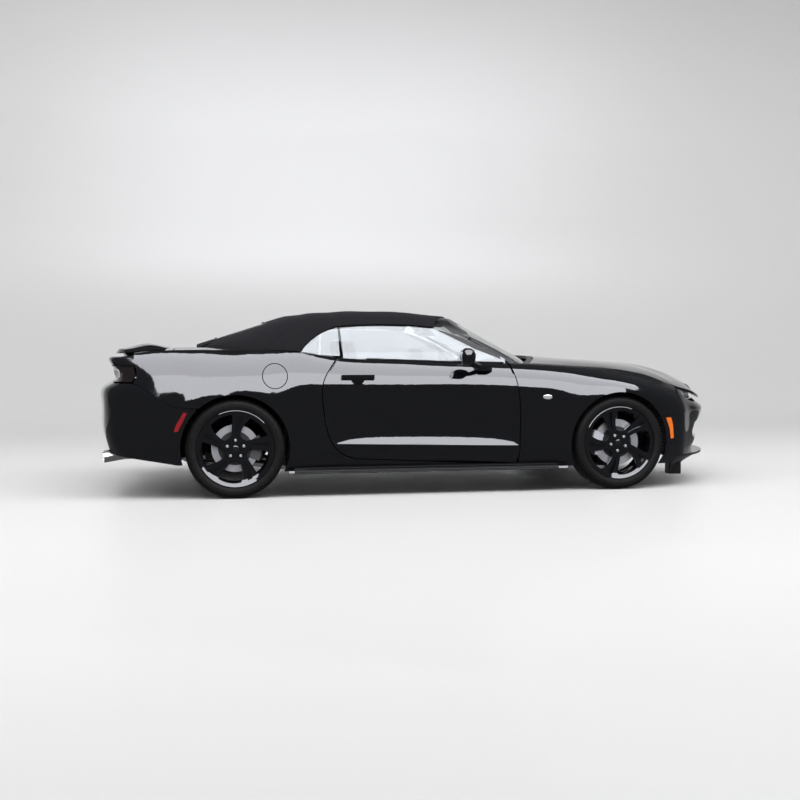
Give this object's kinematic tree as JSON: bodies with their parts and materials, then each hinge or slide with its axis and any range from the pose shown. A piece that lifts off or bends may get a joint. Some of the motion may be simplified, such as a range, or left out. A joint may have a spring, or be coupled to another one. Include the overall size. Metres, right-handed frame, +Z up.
{
  "type": "muscle car",
  "caption": "Two-door muscle car with a fabric folding roof: opening doors, hood, decklid and fuel flap, steered front wheels, all wheels rolling.",
  "frame": {"origin": "on the ground under the middle of the bounding box", "axes": "+X to the nose, +Y to the car's left, +Z up"},
  "size_m": [4.7842, 2.164, 1.3414],
  "materials": {
    "body_paint": "gloss black lacquer",
    "bumper_paint": "gloss black lacquer on moulded plastic",
    "black_trim": "grained black moulding",
    "gloss_trim": "gloss black moulding",
    "roof_cloth": "woven black canvas",
    "clear_glass": "clear",
    "tinted_glass": "dark tint",
    "lamp_clear": "clear lens",
    "lamp_red": "smoked red lens",
    "marker_amber": "amber lens",
    "marker_red": "red lens",
    "rim_black": "gloss black over cast alloy",
    "tyre_rubber": "moulded rubber",
    "disc_iron": "turned iron",
    "knuckle_alloy": "cast alloy",
    "chassis_black": "satin black coating",
    "engine_iron": "as cast",
    "exhaust_steel": "brushed stainless",
    "seat_leather": "black leather",
    "mirror_shell": "gloss black lacquer"
  },
  "bodies": {
    "body": {"floor_pan": "chassis_black", "boot_tub": "chassis_black", "front_structure": "chassis_black", "bodyside_left": "body_paint", "bodyside_right": "body_paint", "fender_left": "body_paint", "fender_right": "body_paint", "front_bumper": "bumper_paint", "rear_bumper": "bumper_paint", "tonneau_panel": "gloss_trim", "cowl_panel": "black_trim", "windscreen_frame": "gloss_trim", "windscreen": "clear_glass", "soft_top": "roof_cloth", "rear_window": "tinted_glass", "quarter_glass": "tinted_glass", "headlamps": "lamp_clear", "tail_lamps": "lamp_red", "grille": "gloss_trim", "front_markers": "marker_amber", "rear_markers": "marker_red", "splitter": "gloss_trim", "exhaust": "exhaust_steel", "front_subframe": "chassis_black", "rear_subframe": "chassis_black", "engine_block": "engine_iron", "front_seats": "seat_leather", "rear_seat": "seat_leather", "dashboard": "black_trim", "steering_wheel": "seat_leather"},
    "door_left": {"door_left": "body_paint", "door_glass_left": "tinted_glass", "mirror_left": "mirror_shell"},
    "knuckle_left": {"knuckle_left": "knuckle_alloy"},
    "wheel_front_left": {"rim_front_left": "rim_black", "tyre_front_left": "tyre_rubber", "brake_disc_front_left": "disc_iron"},
    "wheel_rear_left": {"rim_rear_left": "rim_black", "tyre_rear_left": "tyre_rubber", "brake_disc_rear_left": "disc_iron"},
    "door_right": {"door_right": "body_paint", "door_glass_right": "tinted_glass", "mirror_right": "mirror_shell"},
    "knuckle_right": {"knuckle_right": "knuckle_alloy"},
    "wheel_front_right": {"rim_front_right": "rim_black", "tyre_front_right": "tyre_rubber", "brake_disc_front_right": "disc_iron"},
    "wheel_rear_right": {"rim_rear_right": "rim_black", "tyre_rear_right": "tyre_rubber", "brake_disc_rear_right": "disc_iron"},
    "hood": {"hood": "body_paint"},
    "decklid": {"decklid": "body_paint", "spoiler": "gloss_trim"},
    "fuel_flap": {"fuel_flap": "body_paint"}
  },
  "joints": [
    {"name": "door_left_hinge", "type": "hinge", "parent": "body", "child": "door_left", "pos_m": [0.593, 0.905, 0.56], "axis": [0, 0, -1], "range_deg": [0, 65]},
    {"name": "steer_left", "type": "hinge", "parent": "body", "child": "knuckle_left", "pos_m": [1.393, 0.8, 0.346], "axis": [0, 0, 1], "range_deg": [-34, 34]},
    {"name": "wheel_front_left_spin", "type": "hinge", "parent": "knuckle_left", "child": "wheel_front_left", "pos_m": [1.393, 0.8, 0.346], "axis": [0, 1, 0], "continuous": true},
    {"name": "wheel_rear_left_spin", "type": "hinge", "parent": "body", "child": "wheel_rear_left", "pos_m": [-1.418, 0.8, 0.346], "axis": [0, 1, 0], "continuous": true},
    {"name": "door_right_hinge", "type": "hinge", "parent": "body", "child": "door_right", "pos_m": [0.593, -0.905, 0.56], "axis": [0, 0, 1], "range_deg": [0, 65]},
    {"name": "steer_right", "type": "hinge", "parent": "body", "child": "knuckle_right", "pos_m": [1.393, -0.8, 0.346], "axis": [0, 0, 1], "range_deg": [-34, 34]},
    {"name": "wheel_front_right_spin", "type": "hinge", "parent": "knuckle_right", "child": "wheel_front_right", "pos_m": [1.393, -0.8, 0.346], "axis": [0, 1, 0], "continuous": true},
    {"name": "wheel_rear_right_spin", "type": "hinge", "parent": "body", "child": "wheel_rear_right", "pos_m": [-1.418, -0.8, 0.346], "axis": [0, 1, 0], "continuous": true},
    {"name": "hood_hinge", "type": "hinge", "parent": "body", "child": "hood", "pos_m": [0.743, 0, 0.96], "axis": [0, -1, 0], "range_deg": [0, 50]},
    {"name": "decklid_hinge", "type": "hinge", "parent": "body", "child": "decklid", "pos_m": [-1.839, 0, 1.052], "axis": [0, 1, 0], "range_deg": [0, 75]},
    {"name": "fuel_flap_hinge", "type": "hinge", "parent": "body", "child": "fuel_flap", "pos_m": [-1.057, -0.915, 0.85], "axis": [0, 0, 1], "range_deg": [0, 80]}
  ],
  "couplings": [
    {"joint": "steer_right", "follows": "steer_left", "ratio": 1}
  ]
}
